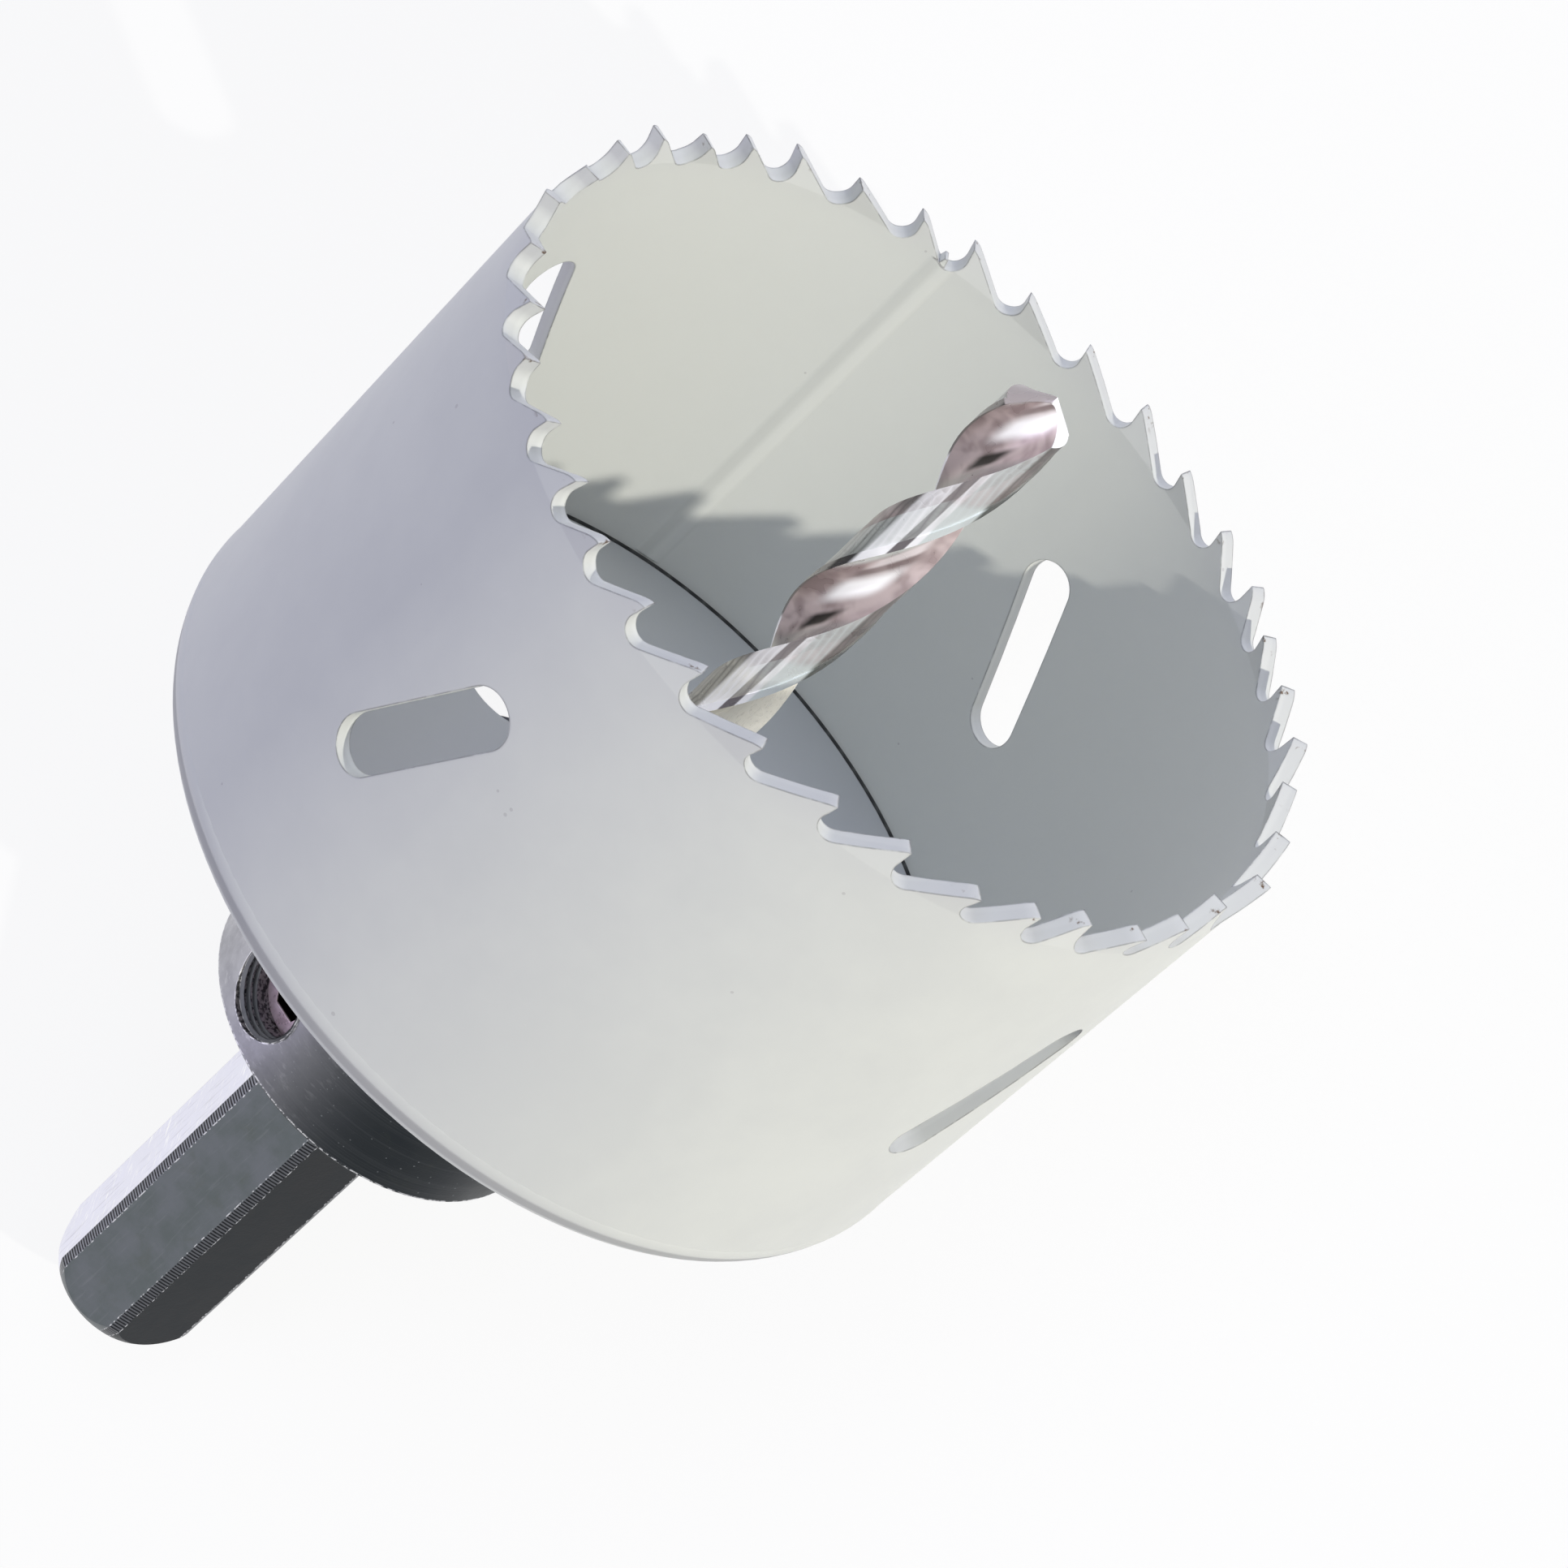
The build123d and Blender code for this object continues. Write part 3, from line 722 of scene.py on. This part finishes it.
# Thread inside the set screw's hole, outside the screw
hole_thread = stand_section(
    "hole_thread",
    corners=3,
    rise=-0.00027,
    spread=0.00029,
    radius=screw_hole_radius - 0.00003,
    height=screw_face + 0.0004,
)
wind(hole_thread, pitch=0.0006, turns=3.2, steps=72)
outwards = Vector((math.cos(screw_azimuth), math.sin(screw_azimuth), 0.0))
sideways = Vector((-math.sin(screw_azimuth), math.cos(screw_azimuth), 0.0))
upwards = Vector((0.0, 0.0, 1.0))
hole_frame = Matrix((
    (sideways.x, upwards.x, outwards.x, 0.0),
    (sideways.y, upwards.y, outwards.y, 0.0),
    (sideways.z, upwards.z, outwards.z, screw_height),
    (0.0, 0.0, 0.0, 1.0),
))
lay_down(hole_thread, tool_to_floor @ hole_frame)
hole_thread.data.materials.append(arbor_steel)
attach(hole_thread, "root")

# Low bead of the weld round the cup's back, under the paint
weld_bead = stand_section(
    "weld_bead",
    corners=12,
    rise=0.00018,
    spread=0.00072,
    radius=cup_radius - 0.00014,
    height=cap_shoulder,
)
start_edit(weld_bead)
bpy.ops.mesh.select_all(action="SELECT")
bpy.ops.mesh.spin(steps=180, angle=2 * math.pi, center=(0, 0, 0), axis=(0, 0, 1), use_auto_merge=True)
bpy.ops.mesh.select_all(action="SELECT")
bpy.ops.mesh.remove_doubles(threshold=0.000001)
bpy.ops.mesh.normals_make_consistent(inside=False)
bpy.ops.object.mode_set(mode="OBJECT")
bpy.ops.object.shade_smooth_by_angle(angle=math.radians(60))
lay_down(weld_bead, tool_to_floor)
weld_bead.data.materials.append(cup_paint)
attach(weld_bead, "root")


# Floor and world, white to the camera and to reflections, with the tool's shadow kept on the floor

pure_white = (1.0, 1.0, 1.0, 1.0)


def seen_directly(tree):
    """1 for camera, glossy and transmission rays, else 0."""
    path = tree.nodes.new("ShaderNodeLightPath")
    either = math_node(tree, "MAXIMUM", path.outputs["Is Camera Ray"], path.outputs["Is Glossy Ray"])
    return math_node(tree, "MAXIMUM", either, path.outputs["Is Transmission Ray"])


def blend_shaders(tree, factor, first, second, target):
    """Mix of two shader nodes by a factor socket, into the target socket."""
    blend = tree.nodes.new("ShaderNodeMixShader")
    tree.links.new(factor, blend.inputs[0])
    tree.links.new(first.outputs[0], blend.inputs[1])
    tree.links.new(second.outputs[0], blend.inputs[2])
    tree.links.new(blend.outputs[0], target)


bpy.ops.object.select_all(action="DESELECT")
bpy.ops.mesh.primitive_plane_add(size=6.0, location=(0, 0, 0))
floor = bpy.context.object
floor.name = "floor"
white_floor = bpy.data.materials.new("white_floor")
white_floor.use_nodes = True
tree = white_floor.node_tree
matt = tree.nodes["Principled BSDF"]
matt.inputs["Base Color"].default_value = (0.88, 0.88, 0.88, 1.0)
matt.inputs["Roughness"].default_value = 0.9
matt.inputs["Specular IOR Level"].default_value = 0.1
glow = tree.nodes.new("ShaderNodeEmission")
glow.inputs["Color"].default_value = pure_white
glow.inputs["Strength"].default_value = 1.0
shine = times(tree, seen_directly(tree), 0.88)
blend_shaders(tree, shine, matt, glow, tree.nodes["Material Output"].inputs["Surface"])
floor.data.materials.append(white_floor)

world = bpy.data.worlds.new("studio")
bpy.context.scene.world = world
world.use_nodes = True
tree = world.node_tree
ambient = tree.nodes["Background"]
ambient.inputs["Color"].default_value = (0.90, 0.92, 1.0, 1.0)
ambient.inputs["Strength"].default_value = 0.40
white = tree.nodes.new("ShaderNodeBackground")
white.inputs["Color"].default_value = pure_white
white.inputs["Strength"].default_value = 1.0
blend_shaders(tree, seen_directly(tree), ambient, white, tree.nodes["World Output"].inputs["Surface"])


# Lamps and camera

eye = Vector((0.080653, -0.04431, 0.373167))
eye_right = Vector((0.760792, -0.615466, -0.205907))
eye_up = Vector((0.624735, 0.780452, -0.024516))
eye_back = Vector((0.175789, -0.109985, 0.978264))
middle = Vector((0.004, 0.0, 0.035))


def add_lamp(name, direction, distance, size, power, colour):
    """Square area lamp at a distance from the tool's middle, facing it."""
    lamp = bpy.data.lights.new(name, "AREA")
    lamp.shape = "SQUARE"
    lamp.size = size
    lamp.energy = power
    lamp.color = colour
    holder = bpy.data.objects.new(name, lamp)
    bpy.context.scene.collection.objects.link(holder)
    direction = Vector(direction).normalized()
    holder.location = middle + direction * distance
    holder.rotation_mode = "QUATERNION"
    holder.rotation_quaternion = (-direction).to_track_quat("-Z", "Y")
    return holder


add_lamp(
    "key_lamp", (0.273, -0.765, 0.583),
    distance=1.2, size=0.022, power=9.2, colour=(1.0, 0.966, 0.861),
)
add_lamp(
    "cool_fill", -eye_right * 0.95 + eye_back * 0.35 + eye_up * 0.1,
    distance=0.9, size=0.7, power=1.7, colour=(0.70, 0.62, 1.0),
)
add_lamp(
    "top_softbox", eye_back * 0.9 + eye_up * 0.45,
    distance=1.1, size=0.5, power=1.9, colour=(0.70, 0.80, 1.0),
)
add_lamp(
    "rim_softbox", eye_right * 0.5 + eye_up * 0.8 + eye_back * 0.35,
    distance=1.1, size=0.6, power=2.6, colour=(0.70, 0.71, 1.0),
)

# A small softbox that only the polished drill takes, so that its steel shows as bright as it is
drill_softbox = add_lamp(
    "drill_softbox", (0.362, 0.183, 0.914),
    distance=0.6, size=0.3, power=2.6, colour=(1.0, 1.0, 1.0),
)
drill_only = bpy.data.collections.new("drill_only")
drill_only.objects.link(nodes["pilot_drill"])
drill_softbox.light_linking.receiver_collection = drill_only
drill_softbox.light_linking.blocker_collection = drill_only

camera = bpy.data.cameras.new("camera")
camera.sensor_width = 36.0
camera.lens = 110.4427
camera.clip_start = 0.01
camera.clip_end = 20.0
tripod = bpy.data.objects.new("camera", camera)
bpy.context.scene.collection.objects.link(tripod)
tripod.matrix_world = Matrix((
    (eye_right.x, eye_up.x, eye_back.x, eye.x),
    (eye_right.y, eye_up.y, eye_back.y, eye.y),
    (eye_right.z, eye_up.z, eye_back.z, eye.z),
    (0.0, 0.0, 0.0, 1.0),
))
bpy.context.scene.camera = tripod
bpy.context.scene.view_settings.view_transform = "Standard"
